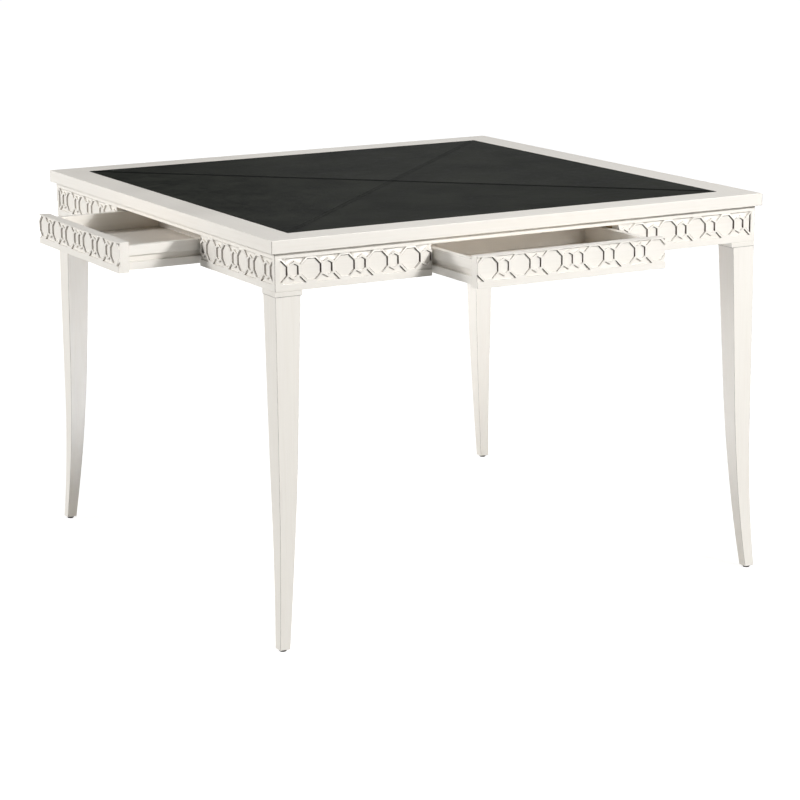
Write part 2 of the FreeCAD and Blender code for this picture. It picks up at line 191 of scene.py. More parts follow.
@dataclass(frozen=True)
class WhiteLacquer:
    """Poplar, sprayed with white satin lacquer over thin umber glazing.

    The eye gets an even, slightly warm white. Faint streaks follow the grain, a fine spray texture softens
    the highlights, and umber glazing leaves a thin brown line on rubbed arrises. Inner corners get painted
    shade in the same dark colour, laid where shade falls in the carving.
    """

    grain: Grain
    paint: str = "#F0ECE5"
    streak: str = "#E6E0D6"
    glaze: str = "#3A2014"
    ior: float = 1.5
    roughness: float = 0.40
    roughness_spread: float = 0.06
    streak_length_mm: float = 110.0
    streak_width_mm: float = 3.0
    streak_band: tuple[float, float] = (0.42, 0.80)
    streak_strength: float = 0.4
    streak_relief: float = 0.8
    cloud_mm: float = 140.0
    rub_mm: float = 22.0
    rub_band: tuple[float, float] = (0.35, 0.68)
    rub_least: float = 0.7
    spray_mm: float = 1.8
    spray_relief_mm: float = 0.010
    # How dark inner corners get: painted shade, laid where shade falls in the carving
    corner_glaze: float = 0.96

    def material(self) -> bpy.types.Material:
        """Makes the finish for boards of one grain direction.

        Returns:
            The material.
        """
        name = f"poplar_white_lacquer_sprayed_{self.grain.name.lower()}"
        material, tree, shader, place = new_material(name)
        stretched = add_node(tree, "Mapping", {}, {
            "Vector": place, "Scale": self.grain.repeats(self.streak_length_mm, self.streak_width_mm),
        })
        streaks = add_node(tree, "TexNoise", {}, {
            "Vector": stretched.outputs["Vector"], "Scale": 1.0, "Detail": 4.0, "Roughness": 0.6,
        })
        clouds, spray, rub = (
            add_node(tree, "TexNoise", {}, {"Vector": place, "Scale": 1 / (size * MM), "Detail": detail})
            for size, detail in ((self.cloud_mm, 3.0), (self.spray_mm, 2.0), (self.rub_mm, 4.0))
        )
        streak_share = add_node(tree, "MapRange", {}, {
            "Value": streaks.outputs["Fac"], "From Min": self.streak_band[0], "From Max": self.streak_band[1],
            "To Min": 0.0, "To Max": self.streak_strength,
        })
        tinted = add_node(tree, "Mix", {"data_type": "RGBA"}, {
            SHARE: streak_share.outputs["Result"], FIRST: linear(self.paint), SECOND: linear(self.streak),
        })
        # Arrises carry a brown line of real glazing; inner corners carry painted shade in the same dark
        # colour
        arris = add_node(tree, "Attribute", {"attribute_name": "arris"}, {})
        corner = add_node(tree, "Attribute", {"attribute_name": "quirk"}, {})
        rubbed = add_node(tree, "MapRange", {}, {
            "Value": rub.outputs["Fac"], "From Min": self.rub_band[0], "From Max": self.rub_band[1],
            "To Min": self.rub_least, "To Max": 1.0,
        })
        glaze_and_shade_mark = add_node(tree, "Math", {"operation": "MULTIPLY_ADD"}, {
            0: corner.outputs["Fac"], 1: self.corner_glaze, 2: arris.outputs["Fac"],
        })
        glaze_and_shade_share = add_node(tree, "Math", {"operation": "MULTIPLY", "use_clamp": True}, {
            0: glaze_and_shade_mark.outputs["Value"], 1: rubbed.outputs["Result"],
        })
        # The dark colour goes on as glazing on arrises and as painted shade in inner corners
        colour = add_node(tree, "Mix", {"data_type": "RGBA"}, {
            SHARE: glaze_and_shade_share.outputs["Value"], FIRST: tinted.outputs[MIXED], SECOND: linear(self.glaze),
        })
        relief = add_node(tree, "Math", {"operation": "MULTIPLY_ADD"}, {
            0: streaks.outputs["Fac"], 1: self.streak_relief, 2: spray.outputs["Fac"],
        })
        bump = add_node(tree, "Bump", {}, {
            "Strength": 1.0, "Distance": self.spray_relief_mm * MM, "Height": relief.outputs["Value"],
        })
        gloss = add_node(tree, "MapRange", {}, {
            "Value": clouds.outputs["Fac"], "From Min": NOISE_LOW, "From Max": NOISE_HIGH,
            "To Min": self.roughness - self.roughness_spread,
            "To Max": self.roughness + self.roughness_spread,
        })
        tree.links.new(colour.outputs[MIXED], shader.inputs["Base Color"])
        tree.links.new(gloss.outputs["Result"], shader.inputs["Roughness"])
        tree.links.new(bump.outputs["Normal"], shader.inputs["Normal"])
        shader.inputs["IOR"].default_value = self.ior
        return material


@dataclass(frozen=True)
class BlackLeather:
    """Cowhide, drum dyed black, with a natural pebbled grain under a thin matt finish.

    The eye gets a deep, faintly green black that breaks up into soft mottling where the hide is denser, with
    fine pebbles that scatter the light. The grain is drawn about twice its real size, so that it shows.
    """

    dense: str = "#1A1C19"
    open: str = "#2D2F2A"
    # The colour of the painted shade along the seams and in the stitch grooves
    seam_shade: str = "#060706"
    ior: float = 1.48
    specular: float = 0.12
    roughness: float = 0.62
    roughness_spread: float = 0.10
    pebble_mm: float = 2.6
    pebble_relief_mm: float = 0.10
    relief_strength: float = 0.8
    mottle_mm: float = 26.0
    mottle_relief: float = 1.6
    hide_mm: float = 130.0
    hide_share: float = 0.5
    open_band: tuple[float, float] = (0.62, 0.90)

    def material(self) -> bpy.types.Material:
        """Makes the finish of the four leather panels.

        Returns:
            The material.
        """
        material, tree, shader, place = new_material("cowhide_black_pebbled_grain")
        pebbles = add_node(tree, "TexVoronoi", {"feature": "SMOOTH_F1"}, {
            "Vector": place, "Scale": 1 / (self.pebble_mm * MM), "Randomness": 0.9, "Smoothness": 0.4,
        })
        mottle = add_node(tree, "TexNoise", {}, {
            "Vector": place, "Scale": 1 / (self.mottle_mm * MM),
            "Detail": 6.0, "Roughness": 0.68, "Distortion": 0.6,
        })
        hide = add_node(tree, "TexNoise", {}, {
            "Vector": place, "Scale": 1 / (self.hide_mm * MM), "Detail": 2.0,
        })
        both = add_node(tree, "Math", {"operation": "MULTIPLY_ADD"}, {
            0: hide.outputs["Fac"], 1: self.hide_share, 2: mottle.outputs["Fac"],
        })
        open_share = add_node(tree, "MapRange", {}, {
            "Value": both.outputs["Value"], "From Min": self.open_band[0], "From Max": self.open_band[1],
        })
        dyed = add_node(tree, "Mix", {"data_type": "RGBA"}, {
            SHARE: open_share.outputs["Result"], FIRST: linear(self.dense), SECOND: linear(self.open),
        })
        # Painted shade: the seams and stitch grooves are darkened where shade falls
        seam = add_node(tree, "Attribute", {"attribute_name": "seam"}, {})
        colour = add_node(tree, "Mix", {"data_type": "RGBA"}, {
            SHARE: seam.outputs["Fac"], FIRST: dyed.outputs[MIXED], SECOND: linear(self.seam_shade),
        })
        relief = add_node(tree, "Math", {"operation": "MULTIPLY_ADD"}, {
            0: mottle.outputs["Fac"], 1: self.mottle_relief, 2: pebbles.outputs["Distance"],
        })
        bump = add_node(tree, "Bump", {}, {
            "Strength": self.relief_strength, "Distance": self.pebble_relief_mm * MM,
            "Height": relief.outputs["Value"],
        })
        gloss = add_node(tree, "MapRange", {}, {
            "Value": mottle.outputs["Fac"], "From Min": NOISE_LOW, "From Max": NOISE_HIGH,
            "To Min": self.roughness - self.roughness_spread,
            "To Max": self.roughness + self.roughness_spread,
        })
        tree.links.new(colour.outputs[MIXED], shader.inputs["Base Color"])
        tree.links.new(gloss.outputs["Result"], shader.inputs["Roughness"])
        tree.links.new(bump.outputs["Normal"], shader.inputs["Normal"])
        shader.inputs["IOR"].default_value = self.ior
        shader.inputs["Specular IOR Level"].default_value = self.specular
        return material


@dataclass(frozen=True)
class WaxedThread:
    """Linen thread, twisted and waxed black: a dull line with a faint shine on top of each stitch."""

    light: str = "#2C2C2A"
    dark: str = "#141413"
    twist_mm: float = 0.9
    twist_relief_mm: float = 0.05
    roughness: float = 0.5

    def material(self) -> bpy.types.Material:
        """Makes the finish of the seams' stitches.

        Returns:
            The material.
        """
        material, tree, shader, place = new_material("linen_thread_black_waxed")
        twist = add_node(tree, "TexWave", {"bands_direction": "X"}, {
            "Vector": place, "Scale": 1 / (self.twist_mm * MM) / (2 * math.pi), "Distortion": 1.0,
        })
        colour = add_node(tree, "Mix", {"data_type": "RGBA"}, {
            SHARE: twist.outputs["Fac"], FIRST: linear(self.dark), SECOND: linear(self.light),
        })
        bump = add_node(tree, "Bump", {}, {
            "Distance": self.twist_relief_mm * MM, "Height": twist.outputs["Fac"],
        })
        tree.links.new(colour.outputs[MIXED], shader.inputs["Base Color"])
        tree.links.new(bump.outputs["Normal"], shader.inputs["Normal"])
        shader.inputs["Roughness"].default_value = self.roughness
        return material


@dataclass(frozen=True)
class BareWood:
    """Planed wood without paint: pale boards with darker growth lines along the grain.

    Wax gives a little shine and closes the pores, and a plain planed face stays dull.
    """

    name: str
    grain: Grain
    early: str
    late: str
    roughness: float
    smoother_by: float = 0.06
    rougher_by: float = 0.08
    line_length_mm: float = 220.0
    line_width_mm: float = 4.0
    line_band: tuple[float, float] = (0.40, 0.66)
    pore_length_mm: float = 14.0
    pore_width_mm: float = 0.5
    pore_relief_mm: float = 0.04

    def material(self) -> bpy.types.Material:
        """Makes the finish for boards of one grain direction.

        Returns:
            The material.
        """
        material, tree, shader, place = new_material(f"{self.name}_{self.grain.name.lower()}")
        line_place = add_node(tree, "Mapping", {}, {
            "Vector": place, "Scale": self.grain.repeats(self.line_length_mm, self.line_width_mm),
        })
        pore_place = add_node(tree, "Mapping", {}, {
            "Vector": place, "Scale": self.grain.repeats(self.pore_length_mm, self.pore_width_mm),
        })
        lines = add_node(tree, "TexNoise", {}, {
            "Vector": line_place.outputs["Vector"], "Scale": 1.0, "Detail": 5.0, "Distortion": 0.4,
        })
        pores = add_node(tree, "TexNoise", {}, {
            "Vector": pore_place.outputs["Vector"], "Scale": 1.0, "Detail": 2.0,
        })
        late_share = add_node(tree, "MapRange", {}, {
            "Value": lines.outputs["Fac"], "From Min": self.line_band[0], "From Max": self.line_band[1],
        })
        colour = add_node(tree, "Mix", {"data_type": "RGBA"}, {
            SHARE: late_share.outputs["Result"], FIRST: linear(self.early), SECOND: linear(self.late),
        })
        gloss = add_node(tree, "MapRange", {}, {
            "Value": pores.outputs["Fac"], "From Min": NOISE_LOW, "From Max": NOISE_HIGH,
            "To Min": self.roughness - self.smoother_by, "To Max": self.roughness + self.rougher_by,
        })
        bump = add_node(tree, "Bump", {}, {
            "Distance": self.pore_relief_mm * MM, "Height": pores.outputs["Fac"],
        })
        tree.links.new(colour.outputs[MIXED], shader.inputs["Base Color"])
        tree.links.new(gloss.outputs["Result"], shader.inputs["Roughness"])
        tree.links.new(bump.outputs["Normal"], shader.inputs["Normal"])
        return material


@dataclass(frozen=True)
class FibreBoard:
    """Medium-density fibreboard, sanded: an even tan with a fine felted speckle and no shine."""

    pale: str = "#B99A72"
    dark: str = "#9C7D57"
    fibre_mm: float = 1.2
    fibre_relief_mm: float = 0.03
    roughness: float = 0.8

    def material(self) -> bpy.types.Material:
        """Makes the finish of the panel under the leather.

        Returns:
            The material.
        """
        material, tree, shader, place = new_material("fibreboard_sanded")
        fibres = add_node(tree, "TexNoise", {}, {
            "Vector": place, "Scale": 1 / (self.fibre_mm * MM), "Detail": 6.0, "Roughness": 0.7,
        })
        colour = add_node(tree, "Mix", {"data_type": "RGBA"}, {
            SHARE: fibres.outputs["Fac"], FIRST: linear(self.pale), SECOND: linear(self.dark),
        })
        bump = add_node(tree, "Bump", {}, {
            "Distance": self.fibre_relief_mm * MM, "Height": fibres.outputs["Fac"],
        })
        tree.links.new(colour.outputs[MIXED], shader.inputs["Base Color"])
        tree.links.new(bump.outputs["Normal"], shader.inputs["Normal"])
        shader.inputs["Roughness"].default_value = self.roughness
        return material


@dataclass(frozen=True)
class ZincPlate:
    """Steel, zinc plated: a cool grey metal with a cloudy, slightly yellow spangle."""

    bright: str = "#C6C7C4"
    dull: str = "#A8A594"
    spangle_mm: float = 2.5
    roughness: float = 0.34
    smoother_by: float = 0.08
    rougher_by: float = 0.10

    def material(self) -> bpy.types.Material:
        """Makes the finish of bolts, nuts and screws.

        Returns:
            The material.
        """
        material, tree, shader, place = new_material("steel_zinc_plated")
        spangle = add_node(tree, "TexNoise", {}, {
            "Vector": place, "Scale": 1 / (self.spangle_mm * MM), "Detail": 4.0,
        })
        colour = add_node(tree, "Mix", {"data_type": "RGBA"}, {
            SHARE: spangle.outputs["Fac"], FIRST: linear(self.bright), SECOND: linear(self.dull),
        })
        gloss = add_node(tree, "MapRange", {}, {
            "Value": spangle.outputs["Fac"], "From Min": NOISE_LOW, "From Max": NOISE_HIGH,
            "To Min": self.roughness - self.smoother_by, "To Max": self.roughness + self.rougher_by,
        })
        tree.links.new(colour.outputs[MIXED], shader.inputs["Base Color"])
        tree.links.new(gloss.outputs["Result"], shader.inputs["Roughness"])
        shader.inputs["Metallic"].default_value = 1.0
        return material


@dataclass(frozen=True)
class BrownNylon:
    """Nylon, moulded dark brown: a dull, faintly speckled plastic with paler scuffs."""

    body: str = "#2E2620"
    scuff: str = "#4A4038"
    speckle_mm: float = 0.8
    speckle_relief_mm: float = 0.02
    scuff_band: tuple[float, float] = (0.50, 0.75)
    scuff_share: float = 0.7
    roughness: float = 0.5

    def material(self) -> bpy.types.Material:
        """Makes the finish of the foot glides.

        Returns:
            The material.
        """
        material, tree, shader, place = new_material("nylon_brown_moulded")
        speckle = add_node(tree, "TexNoise", {}, {
            "Vector": place, "Scale": 1 / (self.speckle_mm * MM), "Detail": 3.0,
        })
        scuffed = add_node(tree, "MapRange", {}, {
            "Value": speckle.outputs["Fac"], "From Min": self.scuff_band[0], "From Max": self.scuff_band[1],
            "To Min": 0.0, "To Max": self.scuff_share,
        })
        colour = add_node(tree, "Mix", {"data_type": "RGBA"}, {
            SHARE: scuffed.outputs["Result"], FIRST: linear(self.body), SECOND: linear(self.scuff),
        })
        bump = add_node(tree, "Bump", {}, {
            "Distance": self.speckle_relief_mm * MM, "Height": speckle.outputs["Fac"],
        })
        tree.links.new(colour.outputs[MIXED], shader.inputs["Base Color"])
        tree.links.new(bump.outputs["Normal"], shader.inputs["Normal"])
        shader.inputs["Roughness"].default_value = self.roughness
        return material


class Finishes:
    """Every material of the table, made once and handed out by name."""

    def __init__(self) -> None:
        """Makes all materials."""
        self.lacquer = {grain: WhiteLacquer(grain).material() for grain in Grain}
        self.leather = BlackLeather().material()
        self.thread = WaxedThread().material()
        self.maple = {
            grain: BareWood("maple_waxed", grain, early="#D9BE93", late="#BE9A68", roughness=0.38).material()
            for grain in Grain
        }
        self.birch = {
            grain: BareWood("birch_planed", grain, early="#D6BC92", late="#C0A274", roughness=0.6).material()
            for grain in Grain
        }
        self.fibreboard = FibreBoard().material()
        self.zinc = ZincPlate().material()
        self.nylon = BrownNylon().material()


def wear(piece: Piece, material: bpy.types.Material) -> None:
    """Gives a piece its material in place of what it has, and reports it.

    Args:
        piece: The piece, made here or kept from the part.
        material: Its finish.
    """
    piece.data.materials.clear()
    piece.data.materials.append(material)
    LOG.info("%s is finished in %s", piece.name, material.name)


def add_piece(name: str, shape: bmesh.types.BMesh, body: str) -> Piece:
    """Turns a finished mesh into a piece that moves with a body.

    Args:
        name: The piece's name.
        shape: Its mesh, which is freed.
        body: The body that it rides on.

    Returns:
        The piece.
    """
    mesh = bpy.data.meshes.new(name)
    shape.to_mesh(mesh)
    shape.free()
    piece = bpy.data.objects.new(name, mesh)
    bpy.context.scene.collection.objects.link(piece)
    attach(piece, body)
    LOG.info("%s rides on %s with %d faces", name, body, len(mesh.polygons))
    return piece


def cut_through(shape: bmesh.types.BMesh, place: Vector, across: Vector) -> None:
    """Cuts a mesh along a plane and keeps both sides.

    Args:
        shape: The mesh.
        place: A point of the plane, in metres.
        across: The way that the plane faces.
    """
    everything = shape.verts[:] + shape.edges[:] + shape.faces[:]
    bmesh.ops.bisect_plane(shape, geom=everything, dist=CUT_SNAP, plane_co=place, plane_no=across)


@dataclass(frozen=True)
class Easing:
    """How sandpaper and paint soften a board: its arrises are rounded, and its inner corners filled a little.

    Arrises carry a thin brown line of real glazing. Inner corners and the rims of recess floors get painted
    shade in
    the same dark colour: whole on corners that face away from the way that the painted light is taken to come
    from, little on ledges and on corners that face that way. Arrises that face that way get a lighter line,
    as painted light.
    """

    # How far edges are rounded, and which of them count as flat, sharp, mitred or too short
    round_mm: float = 0.6
    steps: int = 3
    weld_mm: float = 0.002
    flat_degrees: float = 0.2
    sharp_degrees: float = 60.0
    crease_degrees: float = 40.0
    mitre_degrees: float = 120.0
    bend_degrees: float = 5.0
    shortest_mm: float = 1.2
    # How wide painted shade lies along recess corners and glazing in mitred joints, and up to which width a
    # recess has a wall and not a floor
    glaze_mm: float = 0.5
    joint_mm: float = 0.6
    wall_mm: float = 3.0
    # Shares of a full glazing line on arrises and of full painted shade in corners, and how far a face has to
    # turn before it counts as facing up or along the painted light's way
    upright_arris: float = 1.0
    level_arris: float = 0.15
    rubbed_arris: float = 0.35
    wiped_share: float = 0.15
    stroke_share: float = 0.1
    wiped_slope: float = 0.2

    def dress(
        self,
        node: str,
        material: bpy.types.Material,
        spare: Callable[[Edge], bool],
        painted_light_way: Vector = NO_PAINTED_LIGHT_WAY,
    ) -> Piece:
        """Makes a softened copy of a board and puts it in the board's place.

        Args:
            node: The board's name in the part.
            material: Its finish.
            spare: Says which edges stay sharp, such as glued joints.
            painted_light_way: The way that the painted light and shade are taken to come from, along the
                board.

        Returns:
            The softened board.
        """
        board = frame["nodes"][node]
        shape = bmesh.new()
        shape.from_mesh(board.data)
        bmesh.ops.remove_doubles(shape, verts=shape.verts, dist=self.weld_mm * MM)
        bmesh.ops.dissolve_limit(
            shape, angle_limit=math.radians(self.flat_degrees), use_dissolve_boundaries=False,
            verts=shape.verts, edges=shape.edges, delimit=set(),
        )
        shape.faces.layers.float.new("arris")
        shape.loops.layers.float.new("quirk")
        self.score(shape)
        sharp = math.radians(self.sharp_degrees)
        shortest = self.shortest_mm * MM
        edges = [
            edge for edge in shape.edges
            if edge.calc_face_angle(0.0) > sharp and edge.calc_length() > shortest and not spare(edge)
        ]
        rounded = bmesh.ops.bevel(
            shape, geom=edges, offset=self.round_mm * MM, offset_type="OFFSET", segments=self.steps,
            profile=0.5, affect="EDGES", clamp_overlap=True,
        )
        self.mark(shape, rounded["faces"], painted_light_way)
        bmesh.ops.dissolve_degenerate(shape, dist=self.weld_mm * MM, edges=shape.edges)
        piece = add_piece(f"{node}.eased", shape, board["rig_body"])
        piece.data.shade_smooth()
        piece.data.set_sharp_from_angle(angle=math.radians(self.crease_degrees))
        even = piece.modifiers.new("even_shading", "WEIGHTED_NORMAL")
        even.keep_sharp = True
        wear(piece, material)
        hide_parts(node)
        return piece

    def score(self, shape: bmesh.types.BMesh) -> None:
        """Cuts a strip along each upright mitred corner, where glazing stays in the joint, and marks it.

        Args:
            shape: The board's mesh, before its rounding.
        """
        arris = shape.faces.layers.float["arris"]
        shape.normal_update()
        joints = []
        for edge in shape.edges:
            low, high = sorted((vert.co for vert in edge.verts), key=lambda place: place.z)
            upright = high.z - low.z > self.shortest_mm * MM and (high - low).xy.length < self.weld_mm * MM
            if upright and edge.is_convex and edge.calc_face_angle(0.0) > math.radians(self.mitre_degrees):
                outer = max(edge.link_faces, key=lambda face: max(abs(face.normal.x), abs(face.normal.y)))
                inwards = outer.calc_center_median() - low
                inwards = Vector((inwards.x, inwards.y, 0.0)).normalized()
                joints.append((low.copy(), inwards, outer.normal.copy()))
        for corner, inwards, outward in joints:
            cut_through(shape, corner + inwards * (self.joint_mm * MM), inwards)
            for face in shape.faces:
                away = (face.calc_center_median() - corner).dot(inwards)
                if 0.0 < away < self.joint_mm * MM and face.normal.dot(outward) > FACING:
                    face[arris] = self.upright_arris

    def mark(self, shape: bmesh.types.BMesh, rounded: list[bmesh.types.BMFace], painted_light_way: Vector) -> None:
        """Marks arrises for a line of glazing, and inner corners and the rims of recess floors for painted
        shade.

        Args:
            shape: The board's mesh.
            rounded: The faces that the rounding made.
            painted_light_way: The way that the painted light and shade are taken to come from, along the
                board.
        """
        arris = shape.faces.layers.float["arris"]
        quirk = shape.loops.layers.float["quirk"]
        shape.normal_update()
        bend = math.radians(self.bend_degrees)
        hollows = {}
        for face in rounded:
            bends = [edge for edge in face.edges if edge.calc_face_angle(0.0) > bend]
            if any(edge.is_convex for edge in bends):
                # Arrises that face the painted light's way get a lighter line: painted light
                share = self.upright_arris if abs(face.normal.z) < self.wiped_slope else self.level_arris
                rubbed = face.normal.dot(painted_light_way) > self.wiped_slope
                face[arris] = share * (self.rubbed_arris if rubbed else 1.0)
            elif bends:
                # Inner corners get painted shade, by the way that they face
                hollows[face] = self.kept(face.normal, painted_light_way)
        beside = list(dict.fromkeys(
            other for face in hollows for edge in face.edges for other in edge.link_faces
            if other not in hollows and 2 * other.calc_area() > self.wall_mm * MM * other.calc_perimeter()
        ))
        # A thin strip beside each recess wall takes the painted shade on the recess floor
        inset = bmesh.ops.inset_individual(shape, faces=beside, thickness=self.glaze_mm * MM)
        strips = set(inset["faces"])
        outward = painted_light_way.cross(UP)
        for face, share in hollows.items():
            # Corners that face away from the painted light's way darken whole walls and strips: painted shade
            against = share == 1.0 and face.normal.dot(painted_light_way) < -self.wiped_slope
            for loop in face.loops:
                loop[quirk] = share
            for edge in face.edges:
                for other in edge.link_faces:
                    whole = against and (other in strips or abs(other.normal.dot(outward)) < FACING)
                    for loop in other.loops:
                        if other not in hollows and (whole or loop.vert in edge.verts):
                            loop[quirk] = max(loop[quirk], share)

    def kept(self, normal: Vector, painted_light_way: Vector) -> float:
        """How much painted shade an inner corner gets.

        Args:
            normal: The way that the corner faces.
            painted_light_way: The way that the painted light and shade are taken to come from, along the
                board.

        Returns:
            A share of the full painted shade: little on ledges, and little on corners that face the painted
                light's way.
        """
        if normal.z > self.wiped_slope:
            return self.wiped_share
        return self.stroke_share if normal.dot(painted_light_way) > self.wiped_slope else 1.0


def is_mitred(normal: Vector) -> bool:
    """Says whether a face is a mitred end: upright, and turned half-way between two sides of the table."""
    return abs(abs(normal.x) - abs(normal.y)) < MITRE_SLACK and abs(normal.z) < MITRE_SLACK


def on_mitre(edge: Edge) -> bool:
    """Says whether an edge borders a mitred end, where two boards are glued flush."""
    return any(is_mitred(face.normal) for face in edge.link_faces)


def along_mitre(edge: Edge) -> bool:
    """Says whether an edge lies level along a mitred end."""
    start, end = (vert.co for vert in edge.verts)
    return on_mitre(edge) and abs(start.z - end.z) < LEVEL_SLOPE * (start - end).length


def nothing(edge: Edge) -> bool:
    """Spares no edge."""
    return False


@dataclass
class FramedTop:
    """Mitred rim boards round four leather triangles on a core panel."""

    finishes: Finishes
    easing: Easing = Easing(round_mm=0.5)
    leather_drop_mm: float = 0.45
    seam_lip_mm: float = 0.5
    seam_lip_reach_mm: float = 0.35
    puff_mm: float = 0.60
    puff_reach_mm: float = 3.4
    stitch_line_mm: float = 4.75
    groove_mm: float = 0.45
    groove_reach_mm: float = 1.2
    dye_reach_mm: float = 9.0
    profile_step_mm: float = 0.5
    profile_reach_mm: float = 10.0
    rim_lip_steps_mm: tuple[float, ...] = (0.3, 0.7, 1.3, 2.4)
    crease_degrees: float = 60.0
    stitch_pitch_mm: float = 6.0
    stitch_length_mm: float = 5.0
    thread_mm: float = 0.8
    thread_sides: int = 6
    stitch_rings: int = 5
    stitch_end: float = 0.5
    stitch_bow: float = 0.9
    stitch_bite: float = 0.6
    reach: float = field(init=False)
    level: float = field(init=False)
    under: float = field(init=False)

    def build(self) -> None:
        """Builds the rim, the leather and its stitching."""
        for side in Side:
            self.easing.dress(f"rim_{side}", self.finishes.lacquer[along_side(side)], on_mitre)
        wear(frame["nodes"]["top_core"], self.finishes.fibreboard)
        low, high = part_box("leather_front")
        self.reach = -low.y
        self.level = high.z - self.leather_drop_mm * MM
        self.under = low.z
        for side in Side:
            self.dress_leather(side)
        self.dress_stitches()

    def height(self, place: Vector) -> float:
        """How far the leather stands above its plain level.

        Args:
            place: A point of the top, in metres.

        Returns:
            The height in metres. The seam from left to right was sewn last, so it runs through the other.
        """
        last = abs(place.x + place.y) / math.sqrt(2) / MM
        first = abs(place.x - place.y) / math.sqrt(2) / MM
        rim = (self.reach - max(abs(place.x), abs(place.y))) / MM
        runs_under = min(1.0, max(0.0, (last - self.stitch_line_mm) / (2 * self.stitch_line_mm)))
        rise = self.seam_profile(last) + self.seam_profile(first) * runs_under
        return (rise - self.seam_lip_mm * math.exp(-rim / self.seam_lip_reach_mm)) * MM

    def seam_profile(self, away: float) -> float:
        """The leather's rise beside a seam: turned edge, puffed band and stitch groove.

        Args:
            away: The distance from the seam, in millimetres.

        Returns:
            The rise in millimetres.
        """
        edge = self.seam_lip_mm * math.exp(-away / self.seam_lip_reach_mm)
        beyond = away - self.stitch_line_mm
        puff = self.puff_mm * math.exp(-(beyond / self.puff_reach_mm) ** 2)
        groove = (self.groove_mm + puff) * math.exp(-(beyond / self.groove_reach_mm) ** 2)
        return puff - edge - groove

    def seam_dye(self, place: Vector) -> float:
        """How far the leather is darkened along the seams as painted shade: all of the last seam's band, but
        only the other's stitch lines.

        Args:
            place: A point of the top, in metres.

        Returns:
            A share from none to one.
        """
        last = abs(place.x + place.y) / math.sqrt(2) / MM
        first = abs(place.x - place.y) / math.sqrt(2) / MM
        band = min(1.0, max(0.0, (self.dye_reach_mm - last) / (self.dye_reach_mm - self.stitch_line_mm)))
        line = math.exp(-((first - self.stitch_line_mm) / self.groove_reach_mm) ** 2)
        return max(band, line)

    def dress_leather(self, side: Side) -> None:
        """Builds one leather triangle and puts it in the place of its plain sheet.

        Args:
            side: The side of the table that it lies at.
        """
        node = f"leather_{side}"
        low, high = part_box("leather_front")
        outline = [Vector((low.x, low.y, 0)), Vector((high.x, low.y, 0)), Vector((0, high.y, 0))]
        shape = bmesh.new()
        shape.faces.new([shape.verts.new(side.turn() @ corner) for corner in outline])
        cuts = [(side.turn() @ Vector((0, -1, 0)), self.reach - step * MM) for step in self.rim_lip_steps_mm]
        steps = int(self.profile_reach_mm / self.profile_step_mm)
        for across in (Vector((1, 1, 0)).normalized(), Vector((1, -1, 0)).normalized()):
            for step in range(1, steps + 1):
                cuts.append((across, step * self.profile_step_mm * MM))
                cuts.append((across, -step * self.profile_step_mm * MM))
        for across, distance in cuts:
            cut_through(shape, across * distance, across)
        seam = shape.verts.layers.float.new("seam")
        # Painted shade along the seams, read by the leather's material
        for vert in shape.verts:
            vert[seam] = self.seam_dye(vert.co)
            vert.co.z = self.level + self.height(vert.co)
        rims = [edge for edge in shape.edges if edge.is_boundary]
        turned_down = bmesh.ops.extrude_edge_only(shape, edges=rims)["geom"]
        lower = [item for item in turned_down if isinstance(item, bmesh.types.BMVert)]
        for vert in lower:
            vert.co.z = self.under
        bmesh.ops.holes_fill(shape, edges=[edge for edge in shape.edges if edge.is_boundary], sides=0)
        bmesh.ops.recalc_face_normals(shape, faces=shape.faces)
        piece = add_piece(f"{node}.hide", shape, "table")
        piece.data.shade_smooth()
        piece.data.set_sharp_from_angle(angle=math.radians(self.crease_degrees))
        wear(piece, self.finishes.leather)
        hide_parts(node)

    def dress_stitches(self) -> None:
        """Sews the rows of stitches that lie in the grooves on both sides of each seam."""
        away = self.stitch_line_mm * MM
        end = (self.reach - self.stitch_pitch_mm * MM) * math.sqrt(2)
        stop = 2 * away
        rows = {"left_right": [], "front_back": []}
        for beside in (-away, away):
            rows["left_right"].append((Vector((1, -1, 0)), Vector((1, 1, 0)), beside, -end, end))
            rows["front_back"].append((Vector((1, 1, 0)), Vector((1, -1, 0)), beside, -end, -stop))
            rows["front_back"].append((Vector((1, 1, 0)), Vector((1, -1, 0)), beside, stop, end))
        for name, lines in rows.items():
            shape = bmesh.new()
            for along, across, beside, first, last in lines:
                self.sew_row(shape, along.normalized(), across.normalized() * beside, first, last)
            piece = add_piece(f"seam_stitches.{name}", shape, "table")
            piece.data.shade_smooth()
            wear(piece, self.finishes.thread)

